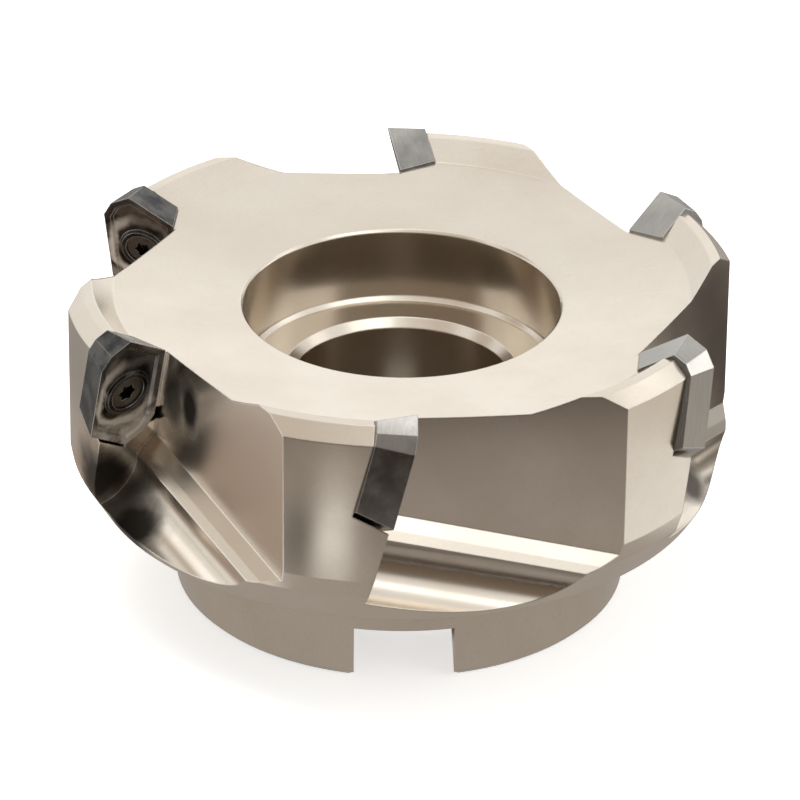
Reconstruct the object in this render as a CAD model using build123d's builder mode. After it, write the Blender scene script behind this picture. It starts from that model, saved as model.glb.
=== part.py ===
from build123d import *
from math import cos, radians, sin, sqrt, tan
import os

# Indexable shoulder face mill of the shell type, 100 mm across its inserts, with six
# carbide inserts screwed to a plated steel body. It stands on its hub: the mounting face
# is at z = 0, the tool's axis is +Z, and the inserts' end edges are at the top.
# Sizes are in millimetres and angles in degrees.

# whole tool
cutting_diameter = 100.0
overall_height = 50.0
tooth_count = 6
first_tooth_angle = 92.0
axial_rake = 14.0
radial_rake = 5.0

# hub and its interface with the arbor
hub_diameter = 66.0
hub_height = 17.1
hub_chamfer = 0.8
bore_diameter = 32.0
bore_foot_chamfer = 0.8
bore_mouth_chamfer = 1.2
drive_slot_width = 14.4
drive_slot_depth = 8.0
drive_slot_chamfer = 0.7

# head: its side stands inside the cutting circle, and each width and drop of its top is
# taken from the line before it, going from the side inwards
head_set_in = 1.3
land_foot_width = 0.5
land_foot_rise = 2.8
head_foot_width = 3.0
head_foot_rise = 5.0
crest_drop = 1.3
side_bevel_width = 2.2
side_bevel_rise = 2.1
crest_width = 1.5
rise_width = 3.2
rise_drop = 2.6
face_fall = 2.1

# recess for the arbor screw
recess_diameter = 46.0
recess_depth = 11.5
recess_chamfer = 0.4
recess_floor_chamfer = 0.6

# insert, drawn as its rake face is seen: a slanted lozenge whose two acute corners are cut
insert_width = 11.2
insert_edge = 11.9
insert_thickness = 5.4
insert_clearance = 17.0
insert_end_slope = 31.0
nose_inset = 4.5
nose_corner_inset = 1.4
nose_corner_drop = 1.7
nose_foot_drop = 4.1
rake_land = 1.0
chip_groove_depth = 0.35
chip_groove_taper = 45.0
boss_diameter = 6.8

# insert screw, with a six-lobed socket
screw_diameter = 3.5
screw_length = 7.5
screw_head_diameter = 5.4
screw_head_rim = 0.35
screw_head_angle = 60.0
screw_head_sink = 0.25
socket_lobe_diameter = 3.0
socket_waist_diameter = 2.1
socket_lobe_count = 6
socket_depth = 1.4
insert_hole_gap = 0.25
thread_gap = 0.05
thread_hole_spare = 0.2

# pocket that holds an insert
pocket_bottom_gap = 0.5
pocket_relief_diameter = 2.6

# chip gullet in front of each insert, placed from the cutting circle and the tool's top
gullet_depth = 11.5
gullet_wall_turn = 0.7
ledge_drop = 20.25
ledge_fall = 12.4
inner_facet_width = 1.7
inner_facet_slope = 42.6
outer_facet_slope = 45.6
trough_radius = 6.1
trough_axis_inside = 2.7
trough_axis_drop = 24.4
trough_fall = 10.5
open_air = 12.0

os.makedirs("parts", exist_ok=True)

# Directions of the first tooth: "outward" lies square to its gullet's wall, "forward" is
# the way the tooth travels, and the rake face leans back by the axial rake.
wall_angle = radians(first_tooth_angle + radial_rake)
lean = radians(axial_rake)
outward = Vector(cos(wall_angle), sin(wall_angle), 0)
forward = Vector(-sin(wall_angle), cos(wall_angle), 0)
upward = Vector(0, 0, 1)
out_of_rake = forward * cos(lean) - upward * sin(lean)

# The rake face's plane has its origin above the main edge, level with the insert's apex.
# The main edge's upper end runs on the cutting circle. Local X points outward, local Y
# up the rake face, and local Z into the tooth.
cutting_radius = cutting_diameter / 2
tip_offset = -cutting_radius * sin(radians(radial_rake))
edge_top_offset = tip_offset - nose_foot_drop * sin(lean)
edge_distance = sqrt(cutting_radius**2 - edge_top_offset**2)
rake_origin = outward * edge_distance + forward * tip_offset + upward * overall_height
rake_plane = Plane(origin=rake_origin, x_dir=outward, z_dir=out_of_rake * -1)
seat_plane = rake_plane.offset(insert_thickness)

# Half of the insert's outline, from the main edge's foot up to the apex. The other half
# is the same, turned round the centre.
end_slope = tan(radians(insert_end_slope))
edge_foot = -(nose_foot_drop + insert_edge)
end_drop = (insert_width - nose_inset) * end_slope
insert_centre = (-insert_width / 2, (edge_foot - end_drop) / 2)
half_outline = [
    (0, edge_foot),
    (0, -nose_foot_drop),
    (-nose_corner_inset, -nose_corner_drop),
    (-nose_inset, 0),
]
other_half = [(2 * insert_centre[0] - x, 2 * insert_centre[1] - y) for x, y in half_outline]
side_top, side_foot, corner_low, apex_low = other_half
screw_plane = Plane(
    origin=rake_plane.from_local_coords(insert_centre + (screw_head_sink,)),
    x_dir=outward,
    z_dir=out_of_rake * -1,
)

# Countersunk head of the insert screw: a thin rim, then a cone down to the shank.
head_cone_length = (screw_head_diameter - screw_diameter) / 2 / tan(radians(screw_head_angle / 2))
shank_length = screw_length - screw_head_rim - head_cone_length
from_the_head = (Align.CENTER, Align.CENTER, Align.MIN)

# Outline of the screw's socket, whose lobes and waists come by turns.
socket_star = []
for step in range(2 * socket_lobe_count):
    reach = (socket_lobe_diameter if step % 2 == 0 else socket_waist_diameter) / 2
    turn = radians(180 / socket_lobe_count * step)
    socket_star.append((reach * cos(turn), reach * sin(turn)))

# One insert screw, with its head outward and its shank pointing into the tooth.
with BuildPart(screw_plane) as screw_blank:
    Cylinder(screw_head_diameter / 2, screw_head_rim, align=from_the_head)
    with Locations((0, 0, screw_head_rim)):
        Cone(screw_head_diameter / 2, screw_diameter / 2, head_cone_length, align=from_the_head)
    with Locations((0, 0, screw_head_rim + head_cone_length)):
        Cylinder(screw_diameter / 2, shank_length, align=from_the_head)
    with BuildSketch(screw_plane) as socket:
        with BuildLine():
            Polyline(*socket_star, close=True)
        make_face()
    extrude(amount=socket_depth, mode=Mode.SUBTRACT)

# One insert. Its flanks fall away by the clearance angle, which is more than the axial
# rake takes back, and its rake face has a ground land along the edge, a chip groove
# inside it and a round boss at the screw.
with BuildPart() as insert_blank:
    with BuildSketch(rake_plane) as insert_outline:
        with BuildLine():
            Polyline(*half_outline, *other_half, close=True)
        make_face()
    extrude(amount=insert_thickness, taper=insert_clearance)
    with BuildSketch(rake_plane) as chip_groove:
        with BuildLine():
            Polyline(*half_outline, *other_half, close=True)
        make_face()
        offset(amount=-rake_land, mode=Mode.REPLACE)
        with Locations(insert_centre):
            Circle(boss_diameter / 2, mode=Mode.SUBTRACT)
    extrude(amount=chip_groove_depth, taper=chip_groove_taper, mode=Mode.SUBTRACT)
    with BuildSketch(rake_plane) as screw_hole:
        with Locations(insert_centre):
            Circle(screw_diameter / 2 + insert_hole_gap)
    extrude(amount=insert_thickness, mode=Mode.SUBTRACT)
    with BuildSketch(rake_plane) as head_mouth:
        with Locations(insert_centre):
            Circle(screw_head_diameter / 2)
    extrude(amount=screw_head_sink + screw_head_rim, mode=Mode.SUBTRACT)
    with Locations(screw_plane.offset(screw_head_rim).location):
        Cone(
            screw_head_diameter / 2,
            screw_diameter / 2,
            head_cone_length,
            align=from_the_head,
            mode=Mode.SUBTRACT,
        )

# Pocket of one insert. The insert bears on its seat, on the side wall and on the facet
# under its inner half; the rest of the bottom stands off it, and the inner corner is
# drilled out so that the insert's edge never touches it.
bottom_low = (apex_low[0], apex_low[1] - pocket_bottom_gap / cos(radians(insert_end_slope)))
bottom_open = (open_air, bottom_low[1] + (open_air - bottom_low[0]) * end_slope)
with BuildPart() as pocket:
    with BuildSketch(rake_plane) as pocket_outline:
        with BuildLine():
            Polyline(
                (side_top[0], open_air),
                side_foot,
                corner_low,
                apex_low,
                bottom_low,
                bottom_open,
                (open_air, open_air),
                close=True,
            )
        make_face()
    extrude(amount=insert_thickness, taper=insert_clearance)
    with BuildSketch(rake_plane) as corner_relief:
        with Locations(side_foot):
            Circle(pocket_relief_diameter / 2)
    extrude(amount=insert_thickness)

# Tapped hole of one screw, from the seat on.
thread_reach = screw_head_sink + screw_length - insert_thickness + thread_hole_spare
with BuildPart() as tapped_hole:
    with BuildSketch(seat_plane) as tapped_mouth:
        with Locations(insert_centre):
            Circle(screw_diameter / 2 + thread_gap)
    extrude(amount=thread_reach)

# Gullet of one tooth, in front of its rake face: an upright wall, a ledge that drops from
# the wall's foot in two facets, and a round trough along the ledge's outer edge that runs
# out through the rim. Ledge and trough fall forward.
gullet_angle = radians(first_tooth_angle - gullet_wall_turn)
across = Vector(cos(gullet_angle), sin(gullet_angle), 0)
along = Vector(-sin(gullet_angle), cos(gullet_angle), 0)
ledge_way = along * cos(radians(ledge_fall)) - upward * sin(radians(ledge_fall))
ledge_plane = Plane(
    origin=across * (cutting_radius - gullet_depth) + upward * (overall_height - ledge_drop),
    x_dir=across,
    z_dir=ledge_way * -1,
)
gullet_mouth = gullet_depth + open_air
inner_facet_drop = inner_facet_width * tan(radians(inner_facet_slope))
outer_facet_drop = (gullet_mouth - inner_facet_width) * tan(radians(outer_facet_slope))
trough_way = along * cos(radians(trough_fall)) - upward * sin(radians(trough_fall))
trough_axis_distance = cutting_radius - trough_axis_inside
trough_plane = Plane(
    origin=across * trough_axis_distance + upward * (overall_height - trough_axis_drop),
    x_dir=across,
    z_dir=trough_way * -1,
)
with BuildPart() as gullet:
    with BuildSketch(ledge_plane) as gullet_outline:
        with BuildLine():
            Polyline(
                (0, overall_height),
                (0, 0),
                (inner_facet_width, -inner_facet_drop),
                (gullet_mouth, -inner_facet_drop - outer_facet_drop),
                (gullet_mouth, overall_height),
                close=True,
            )
        make_face()
    extrude(amount=cutting_radius, both=True)
    with BuildSketch(trough_plane) as trough_round:
        Circle(trough_radius)
    extrude(amount=cutting_radius, both=True)
    split(bisect_by=rake_plane, keep=Keep.BOTTOM)

# Body of the tool: one turned blank, with the teeth and the drive slot cut from it.
bore_radius = bore_diameter / 2
hub_radius = hub_diameter / 2
recess_radius = recess_diameter / 2
head_radius = cutting_radius - head_set_in
crest_height = overall_height - crest_drop
crest_outer = head_radius - side_bevel_width
crest_inner = crest_outer - crest_width
rise_foot_height = crest_height - rise_drop
recess_rim = rise_foot_height - face_fall
recess_floor = recess_rim - recess_depth
with BuildPart() as cutter_body:
    with BuildSketch(Plane.XZ) as half_section:
        with BuildLine():
            Polyline(
                (recess_radius + recess_chamfer, recess_rim),
                (crest_inner - rise_width, rise_foot_height),
                (crest_inner, crest_height),
                (crest_outer, crest_height),
                (head_radius, crest_height - side_bevel_rise),
                (head_radius, hub_height + head_foot_rise + land_foot_rise),
                (head_radius - land_foot_width, hub_height + head_foot_rise),
                (head_radius - land_foot_width - head_foot_width, hub_height),
                (hub_radius, hub_height),
                (hub_radius, hub_chamfer),
                (hub_radius - hub_chamfer, 0),
                (bore_radius + bore_foot_chamfer, 0),
                (bore_radius, bore_foot_chamfer),
                (bore_radius, recess_floor - bore_mouth_chamfer),
                (bore_radius + bore_mouth_chamfer, recess_floor),
                (recess_radius - recess_floor_chamfer, recess_floor),
                (recess_radius, recess_floor + recess_floor_chamfer),
                (recess_radius, recess_rim - recess_chamfer),
                close=True,
            )
        make_face()
    revolve(axis=Axis.Z)
    with PolarLocations(0, tooth_count):
        add(gullet.part, mode=Mode.SUBTRACT)
    with PolarLocations(0, tooth_count):
        add(pocket.part, mode=Mode.SUBTRACT)
    with PolarLocations(0, tooth_count):
        add(tapped_hole.part, mode=Mode.SUBTRACT)
    with BuildSketch(Plane.XZ) as drive_slot:
        with BuildLine():
            Polyline(
                (-drive_slot_width / 2 - drive_slot_chamfer, 0),
                (-drive_slot_width / 2, drive_slot_chamfer),
                (-drive_slot_width / 2, drive_slot_depth),
                (drive_slot_width / 2, drive_slot_depth),
                (drive_slot_width / 2, drive_slot_chamfer),
                (drive_slot_width / 2 + drive_slot_chamfer, 0),
                close=True,
            )
        make_face()
    extrude(amount=hub_radius, both=True, mode=Mode.SUBTRACT)

cutter_body.part.label = "cutter_body"
export_step(cutter_body.part, "parts/cutter_body.step")

# The inserts, numbered clockwise as seen from above.
for number in range(tooth_count):
    with BuildPart() as insert:
        with PolarLocations(0, 1, start_angle=-360 / tooth_count * number):
            add(insert_blank.part)
    insert.part.label = f"insert_{number + 1}"
    export_step(insert.part, f"parts/insert_{number + 1}.step")

# The six like screws are one group of separate solids.
with BuildPart() as insert_screws:
    with PolarLocations(0, tooth_count):
        add(screw_blank.part)

insert_screws.part.label = "insert_screws"
export_step(insert_screws.part, "parts/insert_screws.step")
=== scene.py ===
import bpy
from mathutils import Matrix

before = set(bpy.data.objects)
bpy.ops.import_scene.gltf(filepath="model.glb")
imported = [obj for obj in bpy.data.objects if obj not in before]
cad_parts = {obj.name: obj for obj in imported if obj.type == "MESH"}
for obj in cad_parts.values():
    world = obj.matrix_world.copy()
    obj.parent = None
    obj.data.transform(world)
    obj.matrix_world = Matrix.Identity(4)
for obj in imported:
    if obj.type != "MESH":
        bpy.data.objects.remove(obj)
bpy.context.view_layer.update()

import math

import bpy
import numpy as np
from mathutils import Matrix, Vector

# Cutter body: one forged steel blank, turned all over, with the gullets and pockets milled
# into its rim, then nickel plated to a satin warm silver. It is a used tool, with soot and
# painted shade in its corners, in the foot of some gullets and beside one insert.
millimetre = 0.001
mm_in_metre = 1000


def linear(code):
    """Colour of a surface as seen on a screen, turned to linear light: the sRGB curve undone."""
    parts = [int(code[i:i + 2], 16) / 255 for i in (1, 3, 5)]
    return [p / 12.92 if p <= 0.04045 else ((p + 0.055) / 1.055) ** 2.4 for p in parts] + [1.0]


def new_finish(name):
    """An empty material, and its node tree."""
    finish = bpy.data.materials.new(name)
    finish.use_nodes = True
    finish.node_tree.nodes.clear()
    return finish, finish.node_tree


def add_node(tree, kind, settings=None, **links):
    """Adds one node: settings are its own properties, links fill its sockets by name, or by
    number after an underscore. A link is a value, or the socket that feeds it."""
    node = tree.nodes.new(kind)
    for key, value in (settings or {}).items():
        setattr(node, key, value)
    for key, value in links.items():
        name = int(key[1:]) if key[1:].isdigit() else key.replace("_", " ")
        if isinstance(value, bpy.types.NodeSocket):
            tree.links.new(value, node.inputs[name])
        else:
            node.inputs[name].default_value = value
    return node


# Satin nickel plating on turned and milled steel. It gives the eye a warm silver that takes
# the tone of what stands round it, with tool marks along the turned faces, brighter rubbed
# edges, and brown soot with painted shade in the corners.
plating, tree = new_finish("satin_nickel_plating")
place = add_node(tree, "ShaderNodeTexCoord")
in_mm = add_node(tree, "ShaderNodeMapping", Vector=place.outputs["Object"],
                 Scale=(mm_in_metre, mm_in_metre, mm_in_metre))
shape = add_node(tree, "ShaderNodeNewGeometry")
edge_radius = 0.3
edge_round = add_node(tree, "ShaderNodeBevel", {"samples": 6}, Radius=edge_radius * millimetre)

# Turning marks run round the axis, so they are told apart by radius on a flat face and by
# height on an upright one. The real feed is 0.1 mm, and 0.4 mm is the finest that shows.
feed = 0.4
parts = add_node(tree, "ShaderNodeSeparateXYZ", Vector=in_mm.outputs[0])
flat = add_node(tree, "ShaderNodeCombineXYZ", X=parts.outputs["X"], Y=parts.outputs["Y"])
radius = add_node(tree, "ShaderNodeVectorMath", {"operation": "LENGTH"}, _0=flat.outputs[0])
tilt = add_node(tree, "ShaderNodeSeparateXYZ", Vector=shape.outputs["True Normal"])
facing_up = add_node(tree, "ShaderNodeMath", {"operation": "ABSOLUTE"}, _0=tilt.outputs["Z"])
along_profile = add_node(tree, "ShaderNodeMix", Factor=facing_up.outputs[0],
                         _2=parts.outputs["Z"], _3=radius.outputs["Value"])
marks = add_node(tree, "ShaderNodeTexNoise", {"noise_dimensions": "1D"},
                 W=along_profile.outputs[0], Scale=1 / feed, Detail=2.0)

# The satin grain is finer than 0.1 mm, and is drawn 0.45 mm across so that it shows. The
# plating's own tone drifts in clouds of about 14 mm.
grain_width, cloud_width = 0.45, 14.0
grain = add_node(tree, "ShaderNodeTexNoise", Vector=in_mm.outputs[0],
                 Scale=1 / grain_width, Detail=3.0)
clouds = add_node(tree, "ShaderNodeTexNoise", Vector=in_mm.outputs[0],
                  Scale=1 / cloud_width, Detail=4.0)

# Colour: fresh plating, drifting to a slightly browner tone in the clouds.
tone = add_node(tree, "ShaderNodeMapRange", Value=clouds.outputs[0],
                From_Min=0.35, From_Max=0.7, To_Min=0.0, To_Max=1.0)
metal = add_node(tree, "ShaderNodeMix", {"data_type": "RGBA"}, Factor=tone.outputs[0],
                 _6=linear("#E0D7C9"), _7=linear("#DACFC0"))
speck = add_node(tree, "ShaderNodeMapRange", Value=grain.outputs[0],
                 From_Min=0.3, From_Max=0.7, To_Min=0.98, To_Max=1.015)
metal = add_node(tree, "ShaderNodeVectorMath", {"operation": "SCALE"},
                 _0=metal.outputs[2], Scale=speck.outputs[0])

# Edges rubbed bright: where the rounded normal leaves the face's own.
turned_away = add_node(tree, "ShaderNodeVectorMath", {"operation": "DOT_PRODUCT"},
                       _0=edge_round.outputs["Normal"], _1=shape.outputs["True Normal"])
rubbed = add_node(tree, "ShaderNodeMapRange", Value=turned_away.outputs["Value"],
                  From_Min=0.995, From_Max=0.93, To_Min=0.0, To_Max=0.3)
metal = add_node(tree, "ShaderNodeMix", {"data_type": "RGBA"}, Factor=rubbed.outputs[0],
                 _6=metal.outputs[0], _7=linear("#F3EEE6"))

# Painted shade and soot in tight corners, up to 1.6 mm out of them.
corner_width = 1.6
corner = add_node(tree, "ShaderNodeAmbientOcclusion", {"samples": 6},
                  Distance=corner_width * millimetre)
in_corner = add_node(tree, "ShaderNodeMapRange", Value=corner.outputs["AO"],
                     From_Min=0.62, From_Max=0.2, To_Min=0.0, To_Max=0.8)
soot_and_shade = in_corner.outputs[0]

# Painted shade and burnt-on soot in ragged spots, below and beside the fifth insert and in the
# foot of the third gullet: the place and the reach of each in mm, how many times taller than
# wide it is, and how much of the plating it covers.
soot_and_shade_spots = (
    ((-43.2, -19.2, 25.5), 7.2, 1.0, 0.95),
    ((-38.5, -23.0, 19.5), 6.5, 1.0, 0.97),
    ((-30.6, -23.9, 39.5), 3.0, 2.0, 0.98),
    ((-33.0, -20.1, 38.5), 3.4, 1.6, 0.8),
    ((42.0, -11.5, 19.6), 4.2, 1.0, 0.85),
)
rag_width = 3.5
ragged = add_node(tree, "ShaderNodeTexNoise", Vector=in_mm.outputs[0],
                  Scale=1 / rag_width, Detail=5.0)
for spot, reach, taller, cover in soot_and_shade_spots:
    off = add_node(tree, "ShaderNodeVectorMath", {"operation": "SUBTRACT"},
                   _0=in_mm.outputs[0], _1=spot)
    off = add_node(tree, "ShaderNodeVectorMath", {"operation": "MULTIPLY"},
                   _0=off.outputs[0], _1=(1, 1, 1 / taller))
    away = add_node(tree, "ShaderNodeVectorMath", {"operation": "LENGTH"}, _0=off.outputs[0])
    edge = add_node(tree, "ShaderNodeMath", {"operation": "MULTIPLY_ADD"},
                    _0=ragged.outputs[0], _1=0.55 * reach, _2=away.outputs["Value"])
    patch = add_node(tree, "ShaderNodeMapRange", {"interpolation_type": "SMOOTHSTEP"},
                     Value=edge.outputs[0], From_Min=1.45 * reach, From_Max=0.6 * reach,
                     To_Min=0.0, To_Max=cover)
    soot_and_shade = add_node(tree, "ShaderNodeMath", {"operation": "MAXIMUM"},
                    _0=soot_and_shade, _1=patch.outputs[0]).outputs[0]
# The plating darkens to a near black brown under the painted shade and soot.
metal = add_node(tree, "ShaderNodeMix", {"data_type": "RGBA"}, Factor=soot_and_shade,
                 _6=metal.outputs[2], _7=linear("#241F1B"))

# Gloss: satin, drifting with the clouds, and dull under the soot and painted shade. The relief
# of the marks and the grain is faint.
gloss = add_node(tree, "ShaderNodeMapRange", Value=clouds.outputs[0],
                 From_Min=0.3, From_Max=0.7, To_Min=0.19, To_Max=0.25)
gloss = add_node(tree, "ShaderNodeMath", {"operation": "MULTIPLY_ADD"},
                 _0=soot_and_shade, _1=0.3, _2=gloss.outputs[0])
relief = add_node(tree, "ShaderNodeMath", {"operation": "MULTIPLY_ADD"},
                  _0=grain.outputs[0], _1=0.5, _2=marks.outputs[0])
surface = add_node(tree, "ShaderNodeBump", Strength=0.04, Distance=0.02 * millimetre,
                   Height=relief.outputs[0], Normal=edge_round.outputs["Normal"])
steel = add_node(
    tree, "ShaderNodeBsdfPrincipled",
    Base_Color=metal.outputs[2],
    Metallic=1.0,
    Roughness=gloss.outputs[0],
    Normal=surface.outputs["Normal"],
)
add_node(tree, "ShaderNodeOutputMaterial", Surface=steel.outputs["BSDF"])
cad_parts["cutter_body"].data.materials[0] = plating

# Inserts: six of pressed and sintered tungsten carbide, dark coated on the rake face and
# ground on the flanks. Each bears on its seat and on the side wall of its pocket, held by one
# screw. The fifth and the sixth have cut most, and their rake faces are smeared and burnt.
smear_of_insert = (0.3, 0.15, 0.1, 0.3, 1.0, 0.95)
tooth_count = len(smear_of_insert)

# Frame of the first insert's rake face, from its top outer corner: x outward, y up the face,
# z into the tooth, in mm. The screw's place is counted from that corner too.
wall_angle, lean = math.radians(97.0), math.radians(14.0)
outward = Vector((math.cos(wall_angle), math.sin(wall_angle), 0))
forward = Vector((-math.sin(wall_angle), math.cos(wall_angle), 0))
into_tooth = Vector((0, 0, math.sin(lean))) - forward * math.cos(lean)
up_face = into_tooth.cross(outward)
corner_outward, corner_behind, tool_height = 49.713, 4.358, 50.0
rake_corner = outward * corner_outward - forward * corner_behind + Vector((0, 0, tool_height))
screw_place = (-5.6, -10.013, 0.0)


def carbide_finish(number, smear):
    """Ground tungsten carbide with a dark coating on its rake face. It gives the eye a cool
    grey with fine grinding lines and bright nicked edges. Smear is how much it has cut, from
    0 to 1."""
    finish, tree = new_finish("ground_carbide_%d" % number)
    turn = Matrix.Rotation(-2 * math.pi / tooth_count * (number - 1), 3, "Z")
    axes = Matrix((turn @ outward, turn @ up_face, turn @ into_tooth)).transposed()
    place = add_node(tree, "ShaderNodeTexCoord")
    on_face = add_node(tree, "ShaderNodeMapping", {"vector_type": "TEXTURE"},
                       Vector=place.outputs["Object"],
                       Location=turn @ rake_corner * millimetre,
                       Rotation=axes.to_euler("XYZ"),
                       Scale=(millimetre, millimetre, millimetre))
    shape = add_node(tree, "ShaderNodeNewGeometry")
    edge_radius = 0.2
    edge_round = add_node(tree, "ShaderNodeBevel", {"samples": 6},
                          Radius=edge_radius * millimetre)
    to_front = add_node(tree, "ShaderNodeVectorMath", {"operation": "DOT_PRODUCT"},
                        _0=shape.outputs["True Normal"], _1=turn @ into_tooth * -1)
    rake_face = add_node(tree, "ShaderNodeMapRange", Value=to_front.outputs["Value"],
                         From_Min=0.45, From_Max=0.6)

    # Grinding lines on the flanks run along the edges. The real ones are finer, and these are
    # drawn 0.3 mm apart so that they show. Below the nose lies a dark heat stain, in clouds of
    # about 2.6 mm, where the insert has cut much.
    changes_per_mm, burn_width = (0.6, 0.25, 3.3), 2.6
    stain_starts, stain_full = -1.0, -2.5
    stretched = add_node(tree, "ShaderNodeMapping", Vector=on_face.outputs[0],
                         Scale=changes_per_mm)
    lines = add_node(tree, "ShaderNodeTexNoise", Vector=stretched.outputs[0],
                     Scale=1.0, Detail=3.0)
    ground = add_node(tree, "ShaderNodeMix", {"data_type": "RGBA"}, Factor=lines.outputs[0],
                      _6=linear("#A4A19B"), _7=linear("#BAB7B1"))
    burnt = add_node(tree, "ShaderNodeTexNoise", {"noise_dimensions": "4D"},
                     Vector=on_face.outputs[0], W=float(number), Scale=1 / burn_width,
                     Detail=5.0)
    height = add_node(tree, "ShaderNodeSeparateXYZ", Vector=on_face.outputs[0])
    below_nose = add_node(tree, "ShaderNodeMapRange", Value=height.outputs["Y"],
                          From_Min=stain_starts, From_Max=stain_full,
                          To_Min=max(0.0, 2 * smear - 1), To_Max=1.0)
    stain = add_node(tree, "ShaderNodeMapRange", Value=burnt.outputs[0],
                     From_Min=0.62, From_Max=0.4,
                     To_Min=0.8 * smear, To_Max=min(0.97, 1.3 * smear))
    stain = add_node(tree, "ShaderNodeMath", {"operation": "MULTIPLY"},
                     _0=stain.outputs[0], _1=below_nose.outputs[0])
    ground = add_node(tree, "ShaderNodeMix", {"data_type": "RGBA"}, Factor=stain.outputs[0],
                      _6=ground.outputs[2], _7=linear("#2C2C2D"))

    # Where a point lies from the screw, moved up to 1.6 mm either way in swirls of 3.4 mm.
    swirl_width, swirl_span = 3.4, 3.2
    swirl = add_node(tree, "ShaderNodeTexNoise", {"noise_dimensions": "4D"},
                     Vector=on_face.outputs[0], W=number + 7.5, Scale=1 / swirl_width,
                     Detail=4.0)
    drift = add_node(tree, "ShaderNodeVectorMath", {"operation": "SUBTRACT"},
                     _0=swirl.outputs["Color"], _1=(0.5, 0.5, 0.5))
    centred = add_node(tree, "ShaderNodeVectorMath", {"operation": "SUBTRACT"},
                       _0=on_face.outputs[0], _1=screw_place)
    drifted = add_node(tree, "ShaderNodeVectorMath", {"operation": "MULTIPLY_ADD"},
                       _0=drift.outputs[0], _1=(swirl_span, swirl_span, swirl_span),
                       _2=centred.outputs[0])
    flattened = add_node(tree, "ShaderNodeVectorMath", {"operation": "MULTIPLY"},
                         _0=drifted.outputs[0], _1=(1.0, 0.86, 0.0))
    from_screw = add_node(tree, "ShaderNodeVectorMath", {"operation": "LENGTH"},
                          _0=flattened.outputs[0])

    # Rubbed bright in a broken arc 4.9 mm from the screw, strongest outward and below it, and
    # in lumps along the foot of the face.
    arc_radius = 4.9
    arc = add_node(tree, "ShaderNodeMath", {"operation": "SUBTRACT"},
                   _0=from_screw.outputs["Value"], _1=arc_radius)
    arc = add_node(tree, "ShaderNodeMath", {"operation": "ABSOLUTE"}, _0=arc.outputs[0])
    arc = add_node(tree, "ShaderNodeMapRange", {"interpolation_type": "SMOOTHSTEP"},
                   Value=arc.outputs[0], From_Min=1.1, From_Max=0.15, To_Min=0.0, To_Max=1.0)
    toward = add_node(tree, "ShaderNodeVectorMath", {"operation": "DOT_PRODUCT"},
                      _0=flattened.outputs[0], _1=(0.17, -0.15, 0.0))
    toward = add_node(tree, "ShaderNodeMapRange", Value=toward.outputs["Value"],
                      From_Min=-0.7, From_Max=0.5, To_Min=0.15, To_Max=1.0)
    arc = add_node(tree, "ShaderNodeMath", {"operation": "MULTIPLY"},
                   _0=arc.outputs[0], _1=toward.outputs[0])
    depth = add_node(tree, "ShaderNodeSeparateXYZ", Vector=drifted.outputs[0])
    lumps = add_node(tree, "ShaderNodeMapRange", Value=depth.outputs["Y"],
                     From_Min=-4.0, From_Max=-5.8, To_Min=0.0, To_Max=1.0)
    blotch = add_node(tree, "ShaderNodeMapRange", Value=swirl.outputs[0],
                      From_Min=0.42, From_Max=0.6, To_Min=0.1, To_Max=0.9)
    lumps = add_node(tree, "ShaderNodeMath", {"operation": "MULTIPLY"},
                     _0=lumps.outputs[0], _1=blotch.outputs[0])
    bright = add_node(tree, "ShaderNodeMath", {"operation": "MAXIMUM"},
                      _0=arc.outputs[0], _1=lumps.outputs[0])
    bright = add_node(tree, "ShaderNodeMath", {"operation": "MULTIPLY", "use_clamp": True},
                      _0=bright.outputs[0], _1=smear)

    # The coating itself: burnt in clouds, with a brown film away from the screw.
    burn = add_node(tree, "ShaderNodeMapRange", Value=burnt.outputs[0],
                    From_Min=0.64, From_Max=0.4, To_Min=0.35 * smear, To_Max=0.97 * smear)
    coat = add_node(tree, "ShaderNodeMix", {"data_type": "RGBA"}, Factor=burn.outputs[0],
                    _6=linear("#5F5A54"), _7=linear("#1F1C1A"))
    film = add_node(tree, "ShaderNodeMapRange", Value=from_screw.outputs["Value"],
                    From_Min=3.6, From_Max=6.5, To_Min=0.0, To_Max=0.7)
    film = add_node(tree, "ShaderNodeMath", {"operation": "MULTIPLY"},
                    _0=film.outputs[0], _1=blotch.outputs[0])
    coat = add_node(tree, "ShaderNodeMix", {"data_type": "RGBA"}, Factor=film.outputs[0],
                    _6=coat.outputs[2], _7=linear("#7D746B"))
    coat = add_node(tree, "ShaderNodeMix", {"data_type": "RGBA"}, Factor=bright.outputs[0],
                    _6=coat.outputs[2], _7=linear("#F0EBE2"))
    colour = add_node(tree, "ShaderNodeMix", {"data_type": "RGBA"},
                      Factor=rake_face.outputs[0], _6=ground.outputs[2], _7=coat.outputs[2])

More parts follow.
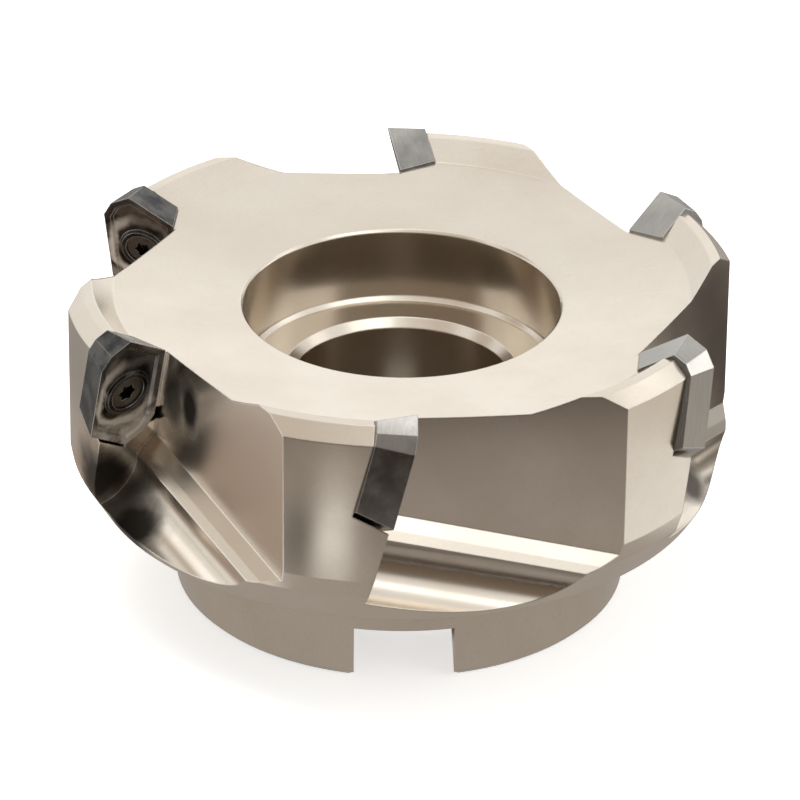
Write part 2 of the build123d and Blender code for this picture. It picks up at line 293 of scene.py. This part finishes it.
    # Edges nicked bright. The rake face is rougher where it is rubbed.
    turned_away = add_node(tree, "ShaderNodeVectorMath", {"operation": "DOT_PRODUCT"},
                           _0=edge_round.outputs["Normal"], _1=shape.outputs["True Normal"])
    nicked = add_node(tree, "ShaderNodeMapRange", Value=turned_away.outputs["Value"],
                      From_Min=0.995, From_Max=0.94, To_Min=0.0, To_Max=0.6)
    colour = add_node(tree, "ShaderNodeMix", {"data_type": "RGBA"}, Factor=nicked.outputs[0],
                      _6=colour.outputs[2], _7=linear("#D6D3CE"))
    rough = add_node(tree, "ShaderNodeMapRange", Value=burnt.outputs[0],
                     From_Min=0.3, From_Max=0.7, To_Min=0.18, To_Max=0.24 + 0.15 * smear)
    on_rake = add_node(tree, "ShaderNodeMath", {"operation": "MULTIPLY"},
                       _0=bright.outputs[0], _1=rake_face.outputs[0])
    rough = add_node(tree, "ShaderNodeMath", {"operation": "MULTIPLY_ADD"},
                     _0=on_rake.outputs[0], _1=0.4, _2=rough.outputs[0])
    relief = add_node(tree, "ShaderNodeMath", {"operation": "MULTIPLY_ADD"},
                      _0=burnt.outputs[0], _1=2.0 * smear, _2=lines.outputs[0])
    surface = add_node(tree, "ShaderNodeBump",
                       Strength=0.12 + 0.3 * smear, Distance=0.05 * millimetre,
                       Height=relief.outputs[0], Normal=edge_round.outputs["Normal"])
    carbide = add_node(
        tree, "ShaderNodeBsdfPrincipled",
        Base_Color=colour.outputs[2],
        Metallic=1.0,
        Roughness=rough.outputs[0],
        Normal=surface.outputs["Normal"],
    )
    add_node(tree, "ShaderNodeOutputMaterial", Surface=carbide.outputs["BSDF"])
    return finish


for number, smear in enumerate(smear_of_insert, start=1):
    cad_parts["insert_%d" % number].data.materials[0] = carbide_finish(number, smear)

# Insert screws: hardened alloy steel, blackened and lightly oiled, one through each insert.
# The material gives the eye a near black with a soft brown sheen, and edges rubbed bright by
# handling and by the driver.
screw_steel, tree = new_finish("blackened_alloy_steel")
place = add_node(tree, "ShaderNodeTexCoord")
in_mm = add_node(tree, "ShaderNodeMapping", Vector=place.outputs["Object"],
                 Scale=(mm_in_metre, mm_in_metre, mm_in_metre))
shape = add_node(tree, "ShaderNodeNewGeometry")
edge_radius, oil_width = 0.12, 0.9
edge_round = add_node(tree, "ShaderNodeBevel", {"samples": 6}, Radius=edge_radius * millimetre)
turned_away = add_node(tree, "ShaderNodeVectorMath", {"operation": "DOT_PRODUCT"},
                       _0=edge_round.outputs["Normal"], _1=shape.outputs["True Normal"])
rubbed = add_node(tree, "ShaderNodeMapRange", Value=turned_away.outputs["Value"],
                  From_Min=0.995, From_Max=0.93, To_Min=0.0, To_Max=0.7)
oil = add_node(tree, "ShaderNodeTexNoise", Vector=in_mm.outputs[0],
               Scale=1 / oil_width, Detail=3.0)
colour = add_node(tree, "ShaderNodeMix", {"data_type": "RGBA"}, Factor=oil.outputs[0],
                  _6=linear("#4B4641"), _7=linear("#665F58"))
colour = add_node(tree, "ShaderNodeMix", {"data_type": "RGBA"}, Factor=rubbed.outputs[0],
                  _6=colour.outputs[2], _7=linear("#A9A39B"))
rough = add_node(tree, "ShaderNodeMapRange", Value=oil.outputs[0],
                 From_Min=0.3, From_Max=0.7, To_Min=0.25, To_Max=0.45)
black = add_node(
    tree, "ShaderNodeBsdfPrincipled",
    Base_Color=colour.outputs[2],
    Metallic=1.0,
    Roughness=rough.outputs[0],
    Normal=edge_round.outputs["Normal"],
)
add_node(tree, "ShaderNodeOutputMaterial", Surface=black.outputs["BSDF"])
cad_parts["insert_screws"].data.materials[0] = screw_steel

# Floor: a plain pale board of painted wood under the tool. Its own glow, which only the eye
# and the metal see, keeps it white, and it still takes the tool's shadow.
board, tree = new_finish("pale_board")
ray = add_node(tree, "ShaderNodeLightPath")
seen = add_node(tree, "ShaderNodeMath", {"operation": "MAXIMUM"},
                _0=ray.outputs["Is Camera Ray"], _1=ray.outputs["Is Glossy Ray"])
seen = add_node(tree, "ShaderNodeMath", {"operation": "MAXIMUM"},
                _0=seen.outputs[0], _1=ray.outputs["Is Transmission Ray"])
paint = add_node(tree, "ShaderNodeBsdfDiffuse", Color=linear("#E8E6E2"))
glow = add_node(tree, "ShaderNodeEmission", Color=(1, 1, 1, 1), Strength=0.62)
both = add_node(tree, "ShaderNodeAddShader", _0=paint.outputs[0], _1=glow.outputs[0])
pick = add_node(tree, "ShaderNodeMixShader",
                _0=seen.outputs[0], _1=paint.outputs[0], _2=both.outputs[0])
add_node(tree, "ShaderNodeOutputMaterial", Surface=pick.outputs[0])
half_floor = 6.0
floor_corners = [(x * half_floor, y * half_floor, 0)
                 for x, y in ((-1, -1), (1, -1), (1, 1), (-1, 1))]
mesh = bpy.data.meshes.new("floor")
mesh.from_pydata(floor_corners, [], [(0, 1, 2, 3)])
floor = bpy.data.objects.new("floor", mesh)
bpy.context.scene.collection.objects.link(floor)
mesh.materials.append(board)


# Bench under the tool, as its upright faces mirror it: a sheet of grey with paler and darker
# cards laid on it. Only the metal sees it, and it throws no light and no shadow.
def mirror_card(name, points, faces, tones):
    """A sheet that is seen only in the metal: points and faces in metres, and the colour of
    each point, shown at a strength of 1."""
    mesh = bpy.data.meshes.new(name)
    mesh.from_pydata(points.tolist(), [], faces.tolist())
    painted = mesh.attributes.new("tone", "FLOAT_COLOR", "POINT")
    painted.data.foreach_set("color", np.c_[tones, np.ones(len(tones))].ravel())
    finish, tree = new_finish(name)
    paint = add_node(tree, "ShaderNodeAttribute", {"attribute_name": "tone"})
    shine = add_node(tree, "ShaderNodeEmission", Color=paint.outputs["Color"], Strength=1.0)
    add_node(tree, "ShaderNodeOutputMaterial", Surface=shine.outputs[0])
    mesh.materials.append(finish)
    card = bpy.data.objects.new(name, mesh)
    bpy.context.scene.collection.objects.link(card)
    card.visible_camera = False
    card.visible_diffuse = False
    card.visible_shadow = False


def ring_faces(rows, columns):
    """Quads of a grid of points numbered row by row, each row a closed ring."""
    row, column = np.meshgrid(np.arange(rows - 1), np.arange(columns), indexing="ij")
    after = (column + 1) % columns
    corners = (row * columns + column, (row + 1) * columns + column,
               (row + 1) * columns + after, row * columns + after)
    return np.stack([c.ravel() for c in corners], axis=1)


def painted_sheet(across, deep, cards, ground):
    """Colour of each point of a sheet: the ground's, with the cards laid on it one by one.
    A card is a rectangle: centre, length, width, turn in degrees and soft edge, and colour.
    It covers a point by how far inside its nearest edge the point lies."""
    tones = np.tile(linear(ground)[:3], (len(across), 1))
    for x, y, length, width, turn, soft, code in cards:
        cos, sin = math.cos(math.radians(turn)), math.sin(math.radians(turn))
        beside = np.abs((across - x) * cos + (deep - y) * sin) - length / 2
        beyond = np.abs((deep - y) * cos - (across - x) * sin) - width / 2
        cover = np.clip(0.5 - np.maximum(beside, beyond) / soft, 0, 1)[:, None]
        tones = tones * (1 - cover) + np.array(linear(code)[:3]) * cover
    return tones


# Cards in mm from the tool's axis, each laid over those before it.
bench_cards = (
    (0, 0, 190, 190, 0, 50, "#AEA8A3"),
    (-78, 0, 50, 60, 0, 8, "#AA998D"),
    (-142, -8, 72, 50, 0, 8, "#FFFFFF"),
    (-92, -38, 120, 34, -28.6, 8, "#FFFFFF"),
    (-240, 0, 240, 150, 0, 20, "#FFFFFF"),
    (-95, 55, 55, 45, 40, 15, "#9C9893"),
    (0, -500, 1000, 790, 0, 12, "#4A413A"),
    (24, -101, 68, 38, 0, 6, "#A59D99"),
    # Painted shadow: a dark strip in front of the hub, the hub's own shadow on the bench.
    (16, -68, 46, 8, 5, 5, "#2E2A28"),
    (-42, -115, 22, 56, 68, 6, "#C0B9B1"),
    (-47.4, -89.2, 26, 13, 62, 6, "#544E49"),
    (-32.7, -97.7, 26, 15, 71.5, 5, "#FFFFFF"),
    (86, -27, 44, 60, 0, 6, "#FFFFFF"),
    (138, -28, 58, 110, 0, 8, "#DDD6CD"),
    (100, 44, 72, 30, 38, 6, "#3E3734"),
    (98, 24, 26, 12, 10, 4, "#F0EAE2"),
    (200, 90, 150, 70, 30, 20, "#8C867F"),
    # Painted shadow: the bench darkened under the tool, as the bore and the hub mirror it.
    (0, 0, 44, 44, 0, 3, "#5A524C"),
)
# The sheet is a disc of rings and spokes, in mm, closest together near the tool.
rings, spokes = 150, 240
inner_ring, outer_ring, above_floor = 6.0, 900.0, 0.6
out = np.r_[0.0, np.geomspace(inner_ring, outer_ring, rings - 1)]
around = np.linspace(0, 2 * np.pi, spokes, endpoint=False)
bench_x = (out[:, None] * np.cos(around)).ravel()
bench_y = (out[:, None] * np.sin(around)).ravel()
points = np.c_[bench_x, bench_y, np.full(len(bench_x), above_floor)] * millimetre
mirror_card("bench_in_the_metal", points, ring_faces(rings, spokes),
            painted_sheet(bench_x, bench_y, bench_cards, "#A8A39E"))

# Room round the tool, as the metal mirrors it: a white dome 2 m out, with a dark side behind
# the camera. Only the metal sees it. Its cards are in degrees of azimuth and elevation.
room_cards = (
    (-98, 15, 112, 42, 0, 8, "#75675A"),
    (-98, -2, 112, 18, 0, 8, "#54483F"),
    (-130, 50, 64, 26, 0, 10, "#D6CBC1"),
    (168, 39, 24, 11, 0, 5, "#C0B1A0"),
    (40, 9, 14, 10, 0, 4, "#3A342F"),
)
rows, columns = 90, 240
lowest, highest, dome_radius = -1, 88, 2.0
rise = np.repeat(np.linspace(lowest, highest, rows), columns)
turn = np.tile(np.linspace(-180, 180, columns, endpoint=False), rows)
flat, high = np.cos(np.radians(rise)), np.sin(np.radians(rise))
points = dome_radius * np.c_[flat * np.cos(np.radians(turn)), flat * np.sin(np.radians(turn)), high]
mirror_card("room_in_the_metal", points, ring_faces(rows, columns),
            painted_sheet(turn, rise, room_cards, "#FFFFFF"))

# World: a plain white room all round, fully bright to the eye and in glossy surfaces, and
# half as strong as a light.
world = bpy.data.worlds.new("white_room")
bpy.context.scene.world = world
world.use_nodes = True
tree = world.node_tree
tree.nodes.clear()
ray = add_node(tree, "ShaderNodeLightPath")
seen = add_node(tree, "ShaderNodeMath", {"operation": "MAXIMUM"},
                _0=ray.outputs["Is Camera Ray"], _1=ray.outputs["Is Glossy Ray"])
seen = add_node(tree, "ShaderNodeMath", {"operation": "MAXIMUM"},
                _0=seen.outputs[0], _1=ray.outputs["Is Transmission Ray"])
level = add_node(tree, "ShaderNodeMapRange", Value=seen.outputs[0], To_Min=0.5, To_Max=1.0)
sky = add_node(tree, "ShaderNodeBackground", Color=(1, 1, 1, 1), Strength=level.outputs[0])
add_node(tree, "ShaderNodeOutputWorld", Surface=sky.outputs[0])


# Lamps: six soft boxes, which the plating shows on top of the white room behind them, and two
# wide lights that it doesn't show. Brightness is in the metal: 1 is as bright as the room.
def soft_box(name, azimuth, elevation, distance, width, height, brightness):
    """A lamp seen from the tool in the given direction, turned to it: degrees, then metres.
    Its power is its brightness times pi times its area."""
    tool_middle = Vector((0, 0, 0.03))
    turn, rise = math.radians(azimuth), math.radians(elevation)
    way = Vector((math.cos(rise) * math.cos(turn), math.cos(rise) * math.sin(turn),
                  math.sin(rise)))
    lamp = bpy.data.lights.new(name, "AREA")
    lamp.shape = "RECTANGLE"
    lamp.size, lamp.size_y = width, height
    lamp.energy = brightness * math.pi * width * height
    box = bpy.data.objects.new(name, lamp)
    bpy.context.scene.collection.objects.link(box)
    box.location = tool_middle + way * distance
    box.rotation_euler = way.to_track_quat("Z", "Y").to_euler()
    return box


soft_box("low_back_box", 74, 18, 1.2, 0.8, 0.5, 0.2)
soft_box("front_strip_box", -47, 60, 0.9, 0.5, 0.2, 1.1)
soft_box("right_box", 17, 12, 0.9, 0.2, 0.24, 2.2)
soft_box("right_high_box", 10, 37, 0.9, 0.25, 0.2, 0.5)
soft_box("left_box", 172, 20, 0.9, 0.35, 0.25, 0.5)
soft_box("top_box", 100, 84, 0.9, 0.16, 0.16, 2.0)
wide_side, wide_distance = 0.7, 0.95
for name, azimuth, elevation, watts in (("overhead_light", 143, 75, 6.0),
                                        ("right_light", -16, 21, 3.0)):
    light = soft_box(name, azimuth, elevation, wide_distance, wide_side, wide_side,
                     watts / (math.pi * wide_side ** 2))
    light.visible_glossy = False

# Camera: a long lens in front of the tool and 28 degrees up, at the photograph's angle. Its
# angles are in radians and its aim in metres, on the tool's axis but for a tenth of a mm.
elevation, azimuth, roll = 0.4952832, -0.0264068, -0.0107945
distance, focal_pixels, picture_width = 0.882, 6030.4, 800
aim_beside, aim_height = -0.0001144, 0.0277487
back = Vector((math.sin(azimuth) * math.cos(elevation), -math.cos(azimuth) * math.cos(elevation),
               math.sin(elevation)))
right = Vector((math.cos(azimuth), math.sin(azimuth), 0))
up = back.cross(right)
aim = Vector((aim_beside * math.cos(azimuth), aim_beside * math.sin(azimuth), aim_height))
camera_x = right * math.cos(roll) - up * math.sin(roll)
camera_y = right * math.sin(roll) + up * math.cos(roll)
lens = bpy.data.cameras.new("camera")
lens.sensor_width = 36.0
lens.lens = focal_pixels * lens.sensor_width / picture_width
lens.clip_start = 0.05
camera = bpy.data.objects.new("camera", lens)
bpy.context.scene.collection.objects.link(camera)
facing = Matrix((camera_x, camera_y, back)).transposed().to_4x4()
camera.matrix_world = Matrix.Translation(aim + back * distance) @ facing
bpy.context.scene.camera = camera
bpy.context.scene.view_settings.view_transform = "Standard"
